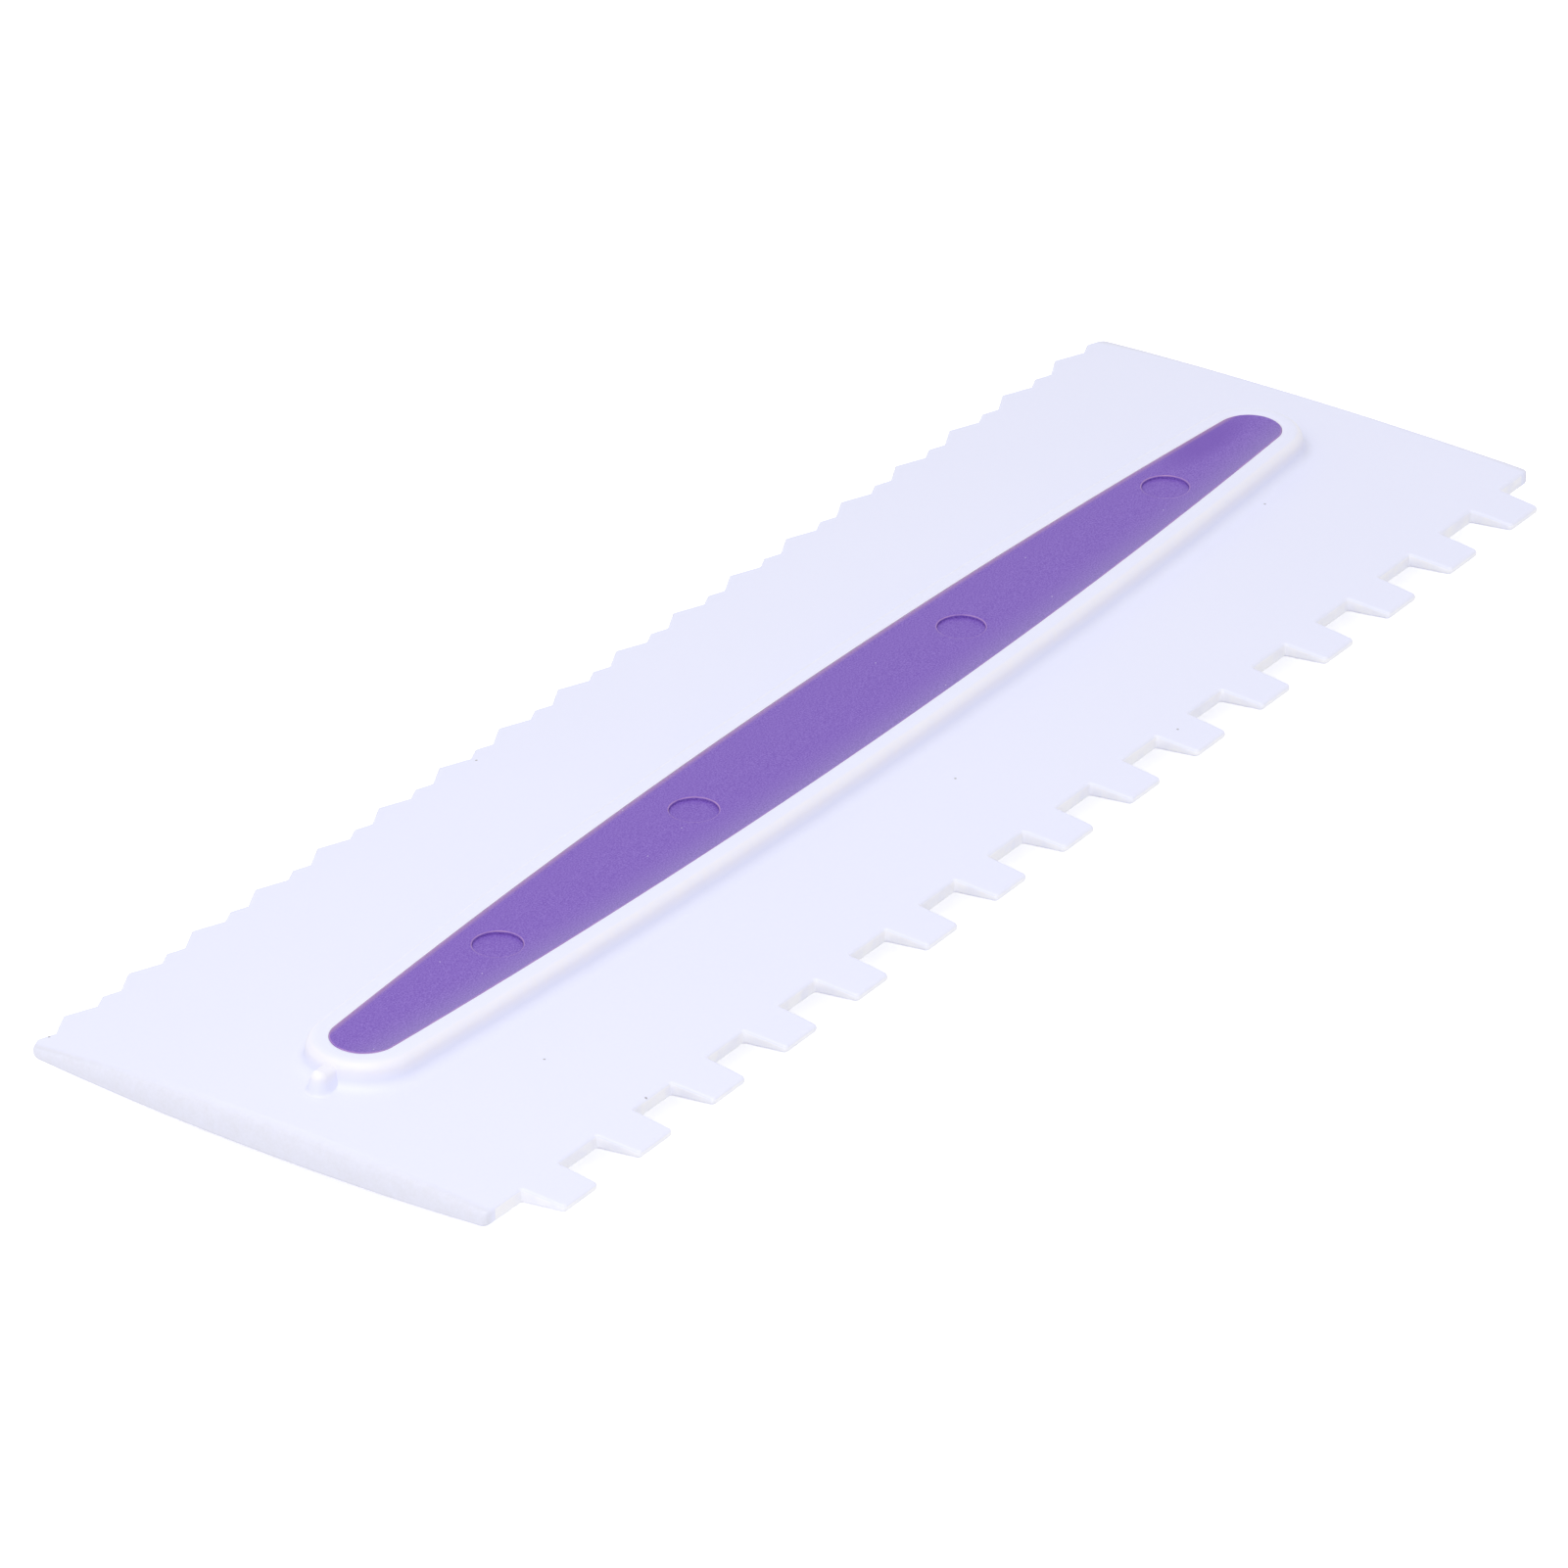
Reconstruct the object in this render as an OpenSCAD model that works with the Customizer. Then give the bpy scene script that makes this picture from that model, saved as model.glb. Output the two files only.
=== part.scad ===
// Icing smoother: a two-sided comb blade with a spindle handle moulded on both faces.
// X runs along the blade, +Y points to the zigzag edge and -Y to the square teeth.
// The origin is the centre of the blade, on its mid-plane, and +Z is the face with the four pins.

/* [Blade] */
// Length of the blade, between its two short ends
blade_len = 229; // [205:1:255]
// Width over the tips of both toothed edges
blade_w = 75; // [68:1:86]
// Thickness along the centre line, between the crowns of the two faces
blade_mid_t = 4.3; // [3.6:0.1:5]
// Thickness at the tips of the teeth
blade_edge_t = 1; // [0.8:0.1:1.4]
// Radius on the upper edge of each short end
end_round_top = 1.9; // [1:0.1:2.2]
// Radius on the lower edge of each short end
end_round_bottom = 0.4; // [0.2:0.1:0.8]

/* [Square teeth] */
// Distance from one square tooth to the next
tooth_pitch = 14.83; // [13:0.01:17]
// Width of a square tooth at its root
tooth_root_w = 7.3; // [6.8:0.1:8]
// Width of a square tooth at its tip
tooth_tip_w = 6.7; // [5.5:0.1:6.8]
// Depth of the notches between the square teeth
tooth_depth = 6; // [4.5:0.1:7]
// Shortest plain stretch left at each end of the row of square teeth
tooth_end_land = 6; // [4:0.5:10]

/* [Zigzag edge] */
// Width of a large point at its base
large_point_w = 7.9; // [6:0.1:10]
// Height of a large point above the valleys
large_point_h = 2; // [1.2:0.1:3]
// Width of a small point at its base
small_point_w = 4.56; // [3.5:0.01:5.5]
// Height of a small point above the valleys
small_point_h = 1; // [0.5:0.1:1.2]

/* [Handle] */
// Distance from each short end of the blade to the coloured inlay
handle_margin = 14.5; // [11:0.5:35]
// Width of the coloured inlay at its middle
inlay_w = 15.9; // [14:0.1:19]
// Radius of the inlay's two rounded ends
inlay_end_r = 4.3; // [3.8:0.1:5.5]
// Height of the rim's flat land above the blade's mid-plane
handle_h = 5.5; // [5:0.1:7]
// Height of the inlay's crown above its own edges, at the inlay's middle
inlay_crown = 0.3; // [0.1:0.05:0.6]
// How far the top of the crown lies below the rim's land
crown_drop = 0.05; // [0.05:0.05:0.4]
// Width of the flat land on top of the rim
rim_land = 1.3; // [0.8:0.1:2]
// Radius on the outer edge of the rim's land
rim_round = 1.5; // [0.8:0.1:1.8]
// Lean of the rim's outer wall, in degrees
rim_draft = 8; // [3:1:14]
// Radius of the fillet where the rim's wall meets the blade
foot_fillet = 1.4; // [0.6:0.1:1.6]

/* [Inlay fixing] */
// Thickness of the web that is left in the blade between the two inlays
web_t = 2.4; // [1.6:0.1:3.2]
// Diameter of the four pins that join the two inlays through the web
pin_d = 6.2; // [4.5:0.1:7]
// How far a pin's end lies below the crown of the upper inlay
pin_sink = 0.4; // [0.2:0.05:0.8]
// Distance of the first pin from the inlay's -X end
first_pin_inset = 30.6; // [20:0.1:40]
// Distance of the last pin from the inlay's +X end
last_pin_inset = 24.2; // [20:0.1:40]
// Distance of the two middle pins from the blade's centre
middle_pin_x = 29; // [15:0.1:40]
// Gap between an inlay and the wall of its pocket
inlay_gap = 0.1; // [0.05:0.05:0.2]
// Gap between a pin and the holes that it passes through
pin_gap = 0.05; // [0.05:0.01:0.2]

/* [Gate nub] */
// Diameter of the moulding nub at the handle's -X end
nub_d = 3; // [2:0.1:4]
// How far the nub stands out from the foot of the rim's wall
nub_reach = 3.2; // [1.5:0.1:4]
// Distance from the rim's land down to the top of the nub
nub_drop = 0.7; // [0.3:0.1:1.5]
// Bevel around the top of the nub
nub_bevel = 0.5; // [0.2:0.1:0.7]

/* [Hidden] */
$fn = 96;
over = 1;
// How deep the fillet's outer edge is let into the blade's face
foot_bite = 0.05;
// How much wider the fillet's circle is cut, so that it crosses the rim's wall instead of grazing it
fillet_bite = 0.002;
// Steps in which a long, nearly flat arc and a round end are drawn
long_arc_steps = 36;
end_arc_steps = 24;
sweep_fn = 720;
// Degrees by which each long side of the handle is swept past the planes that trim it
sweep_margin = 1;

white = [0.92, 0.925, 0.99];
purple = [0.53, 0.42, 0.76];

// Radius of a circular arc with this half chord and rise
function arc_radius(half_chord, rise) = (half_chord * half_chord + rise * rise) / (2 * rise);
// Points along a circular arc, from one angle to the other
function arc_points(centre, r, from, to, steps) = [
    for (i = [0 : steps])
        let (a = from + (to - from) * i / steps)
            centre + r * [cos(a), sin(a)]
];

// The blade's two faces are wide arcs about axes along X
face_rise = (blade_mid_t - blade_edge_t) / 2;
face_r = arc_radius(blade_w / 2, face_rise);
face_axis_z = blade_mid_t / 2 - face_r;
face_angle = asin(blade_w / 2 / face_r);
// Height of the blade's upper face at the distance y from the centre line
function face_z(y) = face_axis_z + sqrt(face_r * face_r - y * y);

// Square teeth
tooth_count = floor((blade_len - 2 * tooth_end_land - tooth_root_w) / tooth_pitch) + 1;
tooth_root_y = -blade_w / 2 + tooth_depth;

// Large and small points share the whole length, and a small one stands at each end
pair_count = round((blade_len - small_point_w) / (large_point_w + small_point_w));
pair_pitch = (blade_len - small_point_w) / pair_count;
valley_y = blade_w / 2 - large_point_h;

// The inlay's outline: two long side arcs that run smoothly into the round ends
inlay_len = blade_len - 2 * handle_margin;
inlay_end_x = inlay_len / 2 - inlay_end_r;
side_r = (inlay_end_x * inlay_end_x / (inlay_w / 2 - inlay_end_r) + inlay_w / 2 + inlay_end_r) / 2;
side_centre_y = side_r - inlay_w / 2;
// Angle at which a side arc meets its end, seen from the side arc's centre
join_angle = atan(inlay_end_x / side_centre_y);

// The rim's section, measured outwards from the inlay's outline
round_x = rim_land;
round_z = handle_h - rim_round;
wall_top = [round_x + rim_round * cos(rim_draft), round_z + rim_round * sin(rim_draft)];
// The foot ends just under the blade's face, where the handle is widest
foot_reach = rim_land + rim_round + foot_fillet;
foot_z = face_z(inlay_w / 2 + foot_reach) - foot_bite;
fillet_z = foot_z + foot_fillet;
fillet_x = wall_top[0] + (foot_fillet - (fillet_z - wall_top[1]) * sin(rim_draft)) / cos(rim_draft);
wall_foot = [fillet_x - foot_fillet * cos(rim_draft), fillet_z - foot_fillet * sin(rim_draft)];
rim_core = inlay_w + 2 * fillet_x;

// The inlay's crown is an arc across its width
crown_r = arc_radius(inlay_w / 2, inlay_crown);
crown_z = handle_h - crown_drop;
pin_x = [
    -inlay_len / 2 + first_pin_inset,
    -middle_pin_x,
    middle_pin_x,
    inlay_len / 2 - last_pin_inset
];
pin_top_z = crown_z - pin_sink;

nub_x = -(inlay_len / 2 + wall_foot[0] + nub_reach - nub_d / 2);
nub_top_z = handle_h - nub_drop;

// Plan of the blade with both toothed edges
module blade_plan() {
    square_tooth_points = [
        for (i = [0 : tooth_count - 1])
            let (x = (i - (tooth_count - 1) / 2) * tooth_pitch)
                each [
                    [x - tooth_root_w / 2, tooth_root_y],
                    [x - tooth_tip_w / 2, -blade_w / 2],
                    [x + tooth_tip_w / 2, -blade_w / 2],
                    [x + tooth_root_w / 2, tooth_root_y]
                ]
    ];
    zigzag_points = [
        for (i = [pair_count : -1 : 0])
            let (x = (i - pair_count / 2) * pair_pitch)
                each concat(
                    [
                        [x + small_point_w / 2, valley_y],
                        [x, valley_y + small_point_h],
                        [x - small_point_w / 2, valley_y]
                    ],
                    i > 0 ? [[x - pair_pitch / 2, valley_y + large_point_h]] : []
                )
    ];
    polygon(concat(
        [[-blade_len / 2, tooth_root_y]],
        square_tooth_points,
        [[blade_len / 2, tooth_root_y]],
        zigzag_points
    ));
}

// Section of the blade across its width, drawn with y to the right and z up
module blade_section() {
    upper_face = arc_points([0, face_axis_z], face_r, 90 - face_angle, 90 + face_angle, long_arc_steps);
    lower_face = arc_points([0, -face_axis_z], face_r, 270 - face_angle, 270 + face_angle, long_arc_steps);
    polygon(concat(upper_face, lower_face));
}

// Side view of the blade, which rounds its short ends, drawn with x to the right and z up
module blade_side() {
    end_x = blade_len / 2;
    top = blade_mid_t / 2;
    for (side = [0, 1]) mirror([side, 0]) {
        polygon([
            [0, -top],
            [end_x - end_round_bottom, -top],
            [end_x, end_round_bottom - top],
            [end_x, top - end_round_top],
            [end_x - end_round_top, top],
            [0, top]
        ]);
        translate([end_x - end_round_top, top - end_round_top]) circle(end_round_top);
        translate([end_x - end_round_bottom, end_round_bottom - top]) circle(end_round_bottom);
    }
}

// The plain blade, with neither handle nor holes
module blade_body() {
    intersection() {
        translate([0, 0, -blade_mid_t]) linear_extrude(2 * blade_mid_t) blade_plan();
        rotate([90, 0, 90])
            translate([0, 0, -blade_len])
                linear_extrude(2 * blade_len) blade_section();
        rotate([90, 0, 0])
            translate([0, 0, -blade_w])
                linear_extrude(2 * blade_w) blade_side();
    }
}

// The inlay's outline, grown all round by the given distance
module inlay_outline(grow = 0) {
    end_angle = 90 - join_angle;
    polygon([
        for (side = [1, -1])
            each concat(
                arc_points([side * inlay_end_x, 0], inlay_end_r + grow,
                    90 - side * 90 - end_angle, 90 - side * 90 + end_angle, end_arc_steps),
                [
                    for (p = arc_points([0, -side * side_centre_y], side_r + grow,
                        side * 90 - join_angle, side * 90 + join_angle, long_arc_steps))
                        if (abs(p[0]) < inlay_end_x) p
                ]
            )
    ]);
}

// The rim's section, with x measured outwards from the inlay's outline
module rim_section() {
    difference() {
        polygon([
            [-rim_core, 0],
            [fillet_x, 0],
            [fillet_x, foot_z],
            wall_foot,
            wall_top,
            [round_x, handle_h],
            [-rim_core, handle_h]
        ]);
        translate([fillet_x, fillet_z]) circle(foot_fillet + fillet_bite);
    }
    translate([round_x, round_z]) circle(rim_round);
}

// One long side of the raised handle, swept about the centre of its side arc
module rim_side() {
    sweep = 2 * (join_angle + sweep_margin);
    translate([0, -side_centre_y, 0])
        rotate([0, 0, 90 - sweep / 2])
            rotate_extrude(angle = sweep, $fn = sweep_fn)
                translate([side_r, 0]) rim_section();
}

// One round end of the raised handle, from the plane through its own axis outwards
module rim_end() {
    translate([inlay_end_x, 0, 0])
        rotate([0, 0, -90])
            rotate_extrude(angle = 180)
                intersection() {
                    translate([inlay_end_r, 0]) rim_section();
                    square([inlay_len, handle_h + over]);
                }
}

// The solid raised handle on the upper face
module handle_body() {
    intersection() {
        rim_side();
        mirror([0, 1, 0]) rim_side();
        translate([-inlay_end_x, -rim_core, 0]) cube([2 * inlay_end_x, 2 * rim_core, handle_h + over]);
    }
    for (side = [0, 1]) mirror([side, 0, 0]) rim_end();
}

// The small nub that the moulding leaves at the handle's -X end
module gate_nub() {
    translate([nub_x, 0, 0]) {
        cylinder(d = nub_d, h = nub_top_z - nub_bevel);
        translate([0, 0, nub_top_z - nub_bevel])
            cylinder(d1 = nub_d, d2 = nub_d - 2 * nub_bevel, h = nub_bevel);
        translate([0, -nub_d / 2, 0]) cube([nub_reach, nub_d, nub_top_z - nub_bevel]);
    }
}

// The four pin positions
module at_pins() {
    for (x = pin_x) translate([x, 0, 0]) children();
}

// An inlay without pins, on the upper face
module inlay_body() {
    intersection() {
        translate([0, 0, web_t / 2]) linear_extrude(handle_h) inlay_outline();
        translate([-inlay_len, 0, crown_z - crown_r])
            rotate([0, 90, 0]) cylinder(r = crown_r, h = 2 * inlay_len, $fn = sweep_fn);
    }
}

// The white blade with its two rims, the pockets for the inlays and the web's pin holes
module comb_blade() {
    color(white) difference() {
        union() {
            blade_body();
            for (side = [0, 1]) mirror([0, 0, side]) handle_body();
            gate_nub();
        }
        for (side = [0, 1]) mirror([0, 0, side])
            translate([0, 0, web_t / 2]) linear_extrude(handle_h) inlay_outline(inlay_gap);
        at_pins() cylinder(d = pin_d + 2 * pin_gap, h = 2 * blade_mid_t, center = true);
    }
}

// The purple inlay on the upper face, bored for the pins
module upper_grip() {
    color(purple) difference() {
        inlay_body();
        at_pins() cylinder(d = pin_d + 2 * pin_gap, h = 2 * handle_h);
    }
}

// The purple inlay on the lower face, with the pins that pass through the web
module lower_grip() {
    color(purple) {
        mirror([0, 0, 1]) inlay_body();
        at_pins() translate([0, 0, -web_t]) cylinder(d = pin_d, h = web_t + pin_top_z);
    }
}

comb_blade();
upper_grip();
lower_grip();
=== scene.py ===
# %% [markdown]
# # An icing smoother in white and purple plastic
# A cake decorator drags this flat comb round a cake. One long edge has square teeth and the
# other has large and small points, so each edge leaves its own stripes in the icing. A slim
# spindle-shaped handle stands proud of both faces, and a purple inlay fills each handle.
# We rebuild the three moulded parts with the mesh tools, in metres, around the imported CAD
# model. The CAD model settles every overall size, so we read those from it first.

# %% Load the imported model
import math
import bmesh
import bpy
from mathutils import Matrix, Vector


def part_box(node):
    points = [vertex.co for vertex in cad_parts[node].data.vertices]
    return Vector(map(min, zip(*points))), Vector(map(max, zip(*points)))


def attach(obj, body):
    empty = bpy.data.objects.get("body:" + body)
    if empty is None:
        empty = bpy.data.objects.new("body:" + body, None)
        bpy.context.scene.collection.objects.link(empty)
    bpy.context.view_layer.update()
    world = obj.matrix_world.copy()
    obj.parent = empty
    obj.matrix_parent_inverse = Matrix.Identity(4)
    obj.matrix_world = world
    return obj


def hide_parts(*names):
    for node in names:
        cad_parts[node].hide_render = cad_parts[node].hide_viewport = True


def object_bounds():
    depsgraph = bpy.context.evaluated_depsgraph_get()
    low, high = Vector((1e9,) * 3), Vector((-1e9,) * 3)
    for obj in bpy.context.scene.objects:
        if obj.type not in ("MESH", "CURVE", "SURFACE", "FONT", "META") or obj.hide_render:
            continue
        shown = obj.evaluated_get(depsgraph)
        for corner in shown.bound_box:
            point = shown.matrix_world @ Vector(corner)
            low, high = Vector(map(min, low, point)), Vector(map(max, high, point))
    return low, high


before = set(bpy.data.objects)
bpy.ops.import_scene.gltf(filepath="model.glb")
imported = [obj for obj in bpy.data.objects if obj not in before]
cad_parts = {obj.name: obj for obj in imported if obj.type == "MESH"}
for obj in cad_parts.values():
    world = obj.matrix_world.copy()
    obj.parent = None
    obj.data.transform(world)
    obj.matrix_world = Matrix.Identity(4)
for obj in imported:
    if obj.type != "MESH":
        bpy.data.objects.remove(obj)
cad_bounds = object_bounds()
MM = 0.001
print("nodes:", sorted(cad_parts))

# %% [markdown]
# ## The camera
# The picture was taken with a long lens from about 1.3 m away, a little under 30 degrees
# above the table. A long lens hardly narrows the far end, so nearly parallel edges stay
# nearly parallel. We place the camera by angles and a distance, which can be read and
# changed more easily than a raw matrix. The camera looks along its own -Z axis.

# %% Camera
SENSOR_WIDTH = 36.0
LENS_MM = 247.34
CAMERA_AZIMUTH = math.radians(-54.825)
CAMERA_ELEVATION = math.radians(28.978)
CAMERA_ROLL = math.radians(-0.066)
CAMERA_DISTANCE = 1341.5 * MM
CAMERA_SIGHT = 20.0
AIM_RIGHT = 5.68 * MM
AIM_UP = 3.63 * MM


def place_object(name, data):
    """Make an object of a mesh, lamp or camera and link it to the scene."""
    thing = bpy.data.objects.new(name, data)
    bpy.context.scene.collection.objects.link(thing)
    return thing


def make_camera():
    """A camera on a sphere around the blade's centre, moved a little sideways to frame it."""
    level = math.cos(CAMERA_ELEVATION)
    back = Vector((
        math.sin(CAMERA_AZIMUTH) * level,
        -math.cos(CAMERA_AZIMUTH) * level,
        math.sin(CAMERA_ELEVATION),
    ))
    right = Vector((math.cos(CAMERA_AZIMUTH), math.sin(CAMERA_AZIMUTH), 0.0))
    up = back.cross(right)
    tilted_right = right * math.cos(CAMERA_ROLL) + up * math.sin(CAMERA_ROLL)
    tilted_up = up * math.cos(CAMERA_ROLL) - right * math.sin(CAMERA_ROLL)
    place = back * CAMERA_DISTANCE - tilted_right * AIM_RIGHT - tilted_up * AIM_UP
    data = bpy.data.cameras.new("camera")
    data.sensor_width = SENSOR_WIDTH
    data.lens = LENS_MM
    data.clip_end = CAMERA_SIGHT
    camera = place_object("camera", data)
    turn = Matrix((tilted_right, tilted_up, back)).transposed()
    camera.matrix_world = Matrix.Translation(place) @ turn.to_4x4()
    bpy.context.scene.camera = camera
    return camera


camera = make_camera()
print("camera stands at", tuple(round(c, 4) for c in camera.matrix_world.translation))

# %% [markdown]
# ## Small helpers for node trees
# A material is a graph of nodes. A few helpers keep the graphs short to write: one adds a
# node and fills in its sockets by name, two stand for arithmetic and for mapping a range,
# and the last two make and use a node group, a reusable effect with named inputs and
# outputs that several materials can share.


# %% Node helpers
def feed(tree, socket, value):
    """Link another node's output into a socket, or set a plain value on it."""
    if isinstance(value, bpy.types.NodeSocket):
        tree.links.new(value, socket)
    else:
        socket.default_value = value


def add_node(tree, kind, settings=None, **sockets):
    """Add a node and fill the sockets that are named, with _ for a space."""
    node = tree.nodes.new(kind)
    for name, value in (settings or {}).items():
        setattr(node, name, value)
    for name, value in sockets.items():
        feed(tree, node.inputs[name.replace("_", " ")], value)
    return node


def calc(tree, operation, one, two=0.0):
    """The result of one step of arithmetic."""
    node = add_node(tree, "ShaderNodeMath", {"operation": operation})
    feed(tree, node.inputs[0], one)
    feed(tree, node.inputs[1], two)
    return node.outputs[0]


def ramp(tree, value, start, end, low=0.0, high=1.0):
    """The value mapped from start..end to low..high, and held beyond both ends."""
    node = add_node(
        tree, "ShaderNodeMapRange",
        Value=value, From_Min=start, From_Max=end, To_Min=low, To_Max=high,
    )
    return node.outputs["Result"]


def new_group(name, inputs, outputs):
    """A shader node group whose sockets are given as name and default value."""
    group = bpy.data.node_groups.new(name, "ShaderNodeTree")
    for label, default in inputs.items():
        kind = "NodeSocketVector" if default is None else "NodeSocketFloat"
        socket = group.interface.new_socket(label, in_out="INPUT", socket_type=kind)
        if default is not None:
            socket.default_value = default
    for label in outputs:
        group.interface.new_socket(label, in_out="OUTPUT", socket_type="NodeSocketFloat")
    source = group.nodes.new("NodeGroupInput")
    sink = group.nodes.new("NodeGroupOutput")
    return group, source.outputs, sink.inputs


def use_group(tree, group, **sockets):
    """Place a node group in a material and give its outputs."""
    return add_node(tree, "ShaderNodeGroup", {"node_tree": group}, **sockets).outputs


print("helpers:", [tool.__name__ for tool in (add_node, calc, ramp, new_group, use_group)])


# %% [markdown]
# ## Table and light
# The smoother lies on a white sweep under big soft lamps, as small goods are photographed.
# The world gives an even light from everywhere. One large lamp high above the table keeps
# the top a little brighter than the handle's sides, and a small one beyond the near end makes
# that end brighter than the far one. A white table would turn grey in shaded places, so its
# material adds a little light of its own, only in what the camera sees directly: the table
# reads as white, the soft shadow under the blade stays, and the object gets no extra light.

# %% Light values
WORLD_LIGHT = 0.715
KEY_POWER = 2.95
KEY_SIZE = 1.0
KEY_PLACE = (-0.58, -0.16, 1.05)
NEAR_POWER = 1.25
NEAR_SIZE = 0.5
NEAR_PLACE = (-0.45, -0.08, 0.65)
PURE_WHITE = (1.0, 1.0, 1.0, 1.0)
TABLE_COLOUR = (0.93, 0.93, 0.93, 1.0)
TABLE_LIFT = 0.66
TABLE_SIZE = 6.0
TABLE_GAP = 0.02 * MM


def seen_directly(tree):
    """1 where a ray comes from the camera, a mirror-like surface or clear glass, else 0."""
    path = add_node(tree, "ShaderNodeLightPath").outputs
    shiny = calc(tree, "MAXIMUM", path["Is Glossy Ray"], path["Is Transmission Ray"])
    return calc(tree, "MAXIMUM", path["Is Camera Ray"], shiny)


for place in (KEY_PLACE, NEAR_PLACE):
    print("a lamp will hang", round(Vector(place).length, 2), "m from the blade's centre")


# %% World and lamps
def light_world():
    """An even white surround that looks pure white wherever it is seen."""
    world = bpy.data.worlds.new("studio")
    world.use_nodes = True
    tree = world.node_tree
    tree.nodes.clear()
    lit = add_node(tree, "ShaderNodeBackground", Color=PURE_WHITE, Strength=WORLD_LIGHT)
    seen = add_node(tree, "ShaderNodeBackground", Color=PURE_WHITE, Strength=1.0)
    mix = add_node(tree, "ShaderNodeMixShader", Fac=seen_directly(tree))
    tree.links.new(lit.outputs[0], mix.inputs[1])
    tree.links.new(seen.outputs[0], mix.inputs[2])
    output = add_node(tree, "ShaderNodeOutputWorld")
    tree.links.new(mix.outputs[0], output.inputs["Surface"])
    bpy.context.scene.world = world


def hang_lamp(name, place, size, power):
    """A square soft lamp that faces the middle of the table."""
    data = bpy.data.lights.new(name, "AREA")
    data.size = size
    data.energy = power
    lamp = place_object(name, data)
    lamp.location = place
    lamp.rotation_euler = (-Vector(place)).to_track_quat("-Z", "Y").to_euler()
    return lamp


light_world()
key_lamp = hang_lamp("key_lamp", KEY_PLACE, KEY_SIZE, KEY_POWER)
near_lamp = hang_lamp("near_lamp", NEAR_PLACE, NEAR_SIZE, NEAR_POWER)
bpy.context.scene.view_settings.view_transform = "Standard"
for lamp in (key_lamp, near_lamp):
    print(lamp.name, "gives", round(lamp.data.energy, 2), "W beside a world of", WORLD_LIGHT)


# %% Table
def make_table():
    """A wide plane just under the lower rim, white to the camera apart from shadows."""
    bm = bmesh.new()
    bmesh.ops.create_grid(bm, x_segments=1, y_segments=1, size=TABLE_SIZE / 2)
    bmesh.ops.translate(bm, verts=bm.verts, vec=(0, 0, cad_bounds[0].z - TABLE_GAP))
    mesh = bpy.data.meshes.new("table")
    bm.to_mesh(mesh)
    bm.free()
    material = bpy.data.materials.new("white_table")
    material.use_nodes = True
    tree = material.node_tree
    shader = tree.nodes["Principled BSDF"]
    shader.inputs["Base Color"].default_value = TABLE_COLOUR
    shader.inputs["Roughness"].default_value = 1.0
    shader.inputs["Specular IOR Level"].default_value = 0.0
    lift = calc(tree, "MULTIPLY", seen_directly(tree), TABLE_LIFT)
    glow = add_node(tree, "ShaderNodeEmission", Strength=lift)
    both = add_node(tree, "ShaderNodeAddShader")
    tree.links.new(shader.outputs[0], both.inputs[0])
    tree.links.new(glow.outputs[0], both.inputs[1])
    tree.links.new(both.outputs[0], tree.nodes["Material Output"].inputs["Surface"])
    mesh.materials.append(material)
    table = place_object("table", mesh)
    return table


table = make_table()
print("table top at z =", round(table.data.vertices[0].co.z / MM, 2), "mm")

# %% [markdown]
# ## What the plastics share
# Both plastics come out of steel moulds, and they show the same small effects, so each
# effect is a node group. The grain is the fine matte skin that the mould leaves. The roundings
# are paled a little, partly as edge wear and partly as painted highlights, and the teeth's
# walls are paled as painted light. Each mesh marks those faces with an attribute of its own,
# because curvature that a shader reads from the mesh would smear over the large flat faces.
# On the white, the end walls get a painted shade, and the shoulders of the rim a warmer, less
# blue tone. On the purple, one long side of the inlay gets a painted sheen, the very edge of
# the other a painted highlight, and an oval near the far end a painted shade, made by taking
# the pale haze of the grain away. Specks are the few dust grains that sit on any moulded part
# fresh from its bag. Each group puts out plain values, and each material decides what to do
# with them.


# %% Grain group
GRAIN_NOISE = {"Detail": 3.0, "Roughness": 0.6}
DRIFT_NOISE = {"Detail": 2.0, "Roughness": 0.5}


def make_grain_group():
    """Fine grain for bump, and slow changes for roughness and tone, each about 0 to 1."""
    group, given, out = new_group(
        "mould_grain",
        {"Vector": None, "Grain Size": 0.3 * MM, "Drift Size": 30 * MM},
        ("Grain", "Drift"),
    )
    for size, kind, name in (
        ("Grain Size", GRAIN_NOISE, "Grain"),
        ("Drift Size", DRIFT_NOISE, "Drift"),
    ):
        noise = add_node(
            group, "ShaderNodeTexNoise", Vector=given["Vector"],
            Scale=calc(group, "DIVIDE", 1.0, given[size]), **kind,
        )
        group.links.new(noise.outputs["Fac"], out[name])
    return group


grain_group = make_grain_group()
print("group", grain_group.name, "puts out Grain and Drift")


# %% Edge wear and painted highlight group
CLOUD_LOW = 0.3
CLOUD_HIGH = 0.7
WEAR_LIGHT_PATCH = 2.5 * MM
WEAR_LIGHT_DETAIL = 2.0
WEAR_LIGHT_LEAST = 0.4


def cloudy(tree, where, size, detail, least):
    """A mask of soft clouds between a least value and 1."""
    noise = add_node(tree, "ShaderNodeTexNoise", Vector=where, Scale=1 / size, Detail=detail)
    return ramp(tree, noise.outputs["Fac"], CLOUD_LOW, CLOUD_HIGH, least, 1.0)


# Paler roundings are partly edge wear and partly painted highlights; the teeth's walls get
# painted light
def make_wear_light_group():
    """The mesh's rounding mask, broken up by noise so that it isn't a drawn line."""
    group, given, out = new_group("edge_wear_and_light", {"Vector": None, "Rounding": 0.0}, ("Wear Light",))
    patches = cloudy(group, given["Vector"], WEAR_LIGHT_PATCH, WEAR_LIGHT_DETAIL, WEAR_LIGHT_LEAST)
    group.links.new(calc(group, "MULTIPLY", given["Rounding"], patches), out["Wear Light"])
    return group


wear_light_group = make_wear_light_group()
print("group", wear_light_group.name, "puts out Wear in patches of", round(WEAR_LIGHT_PATCH / MM, 1), "mm")
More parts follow.
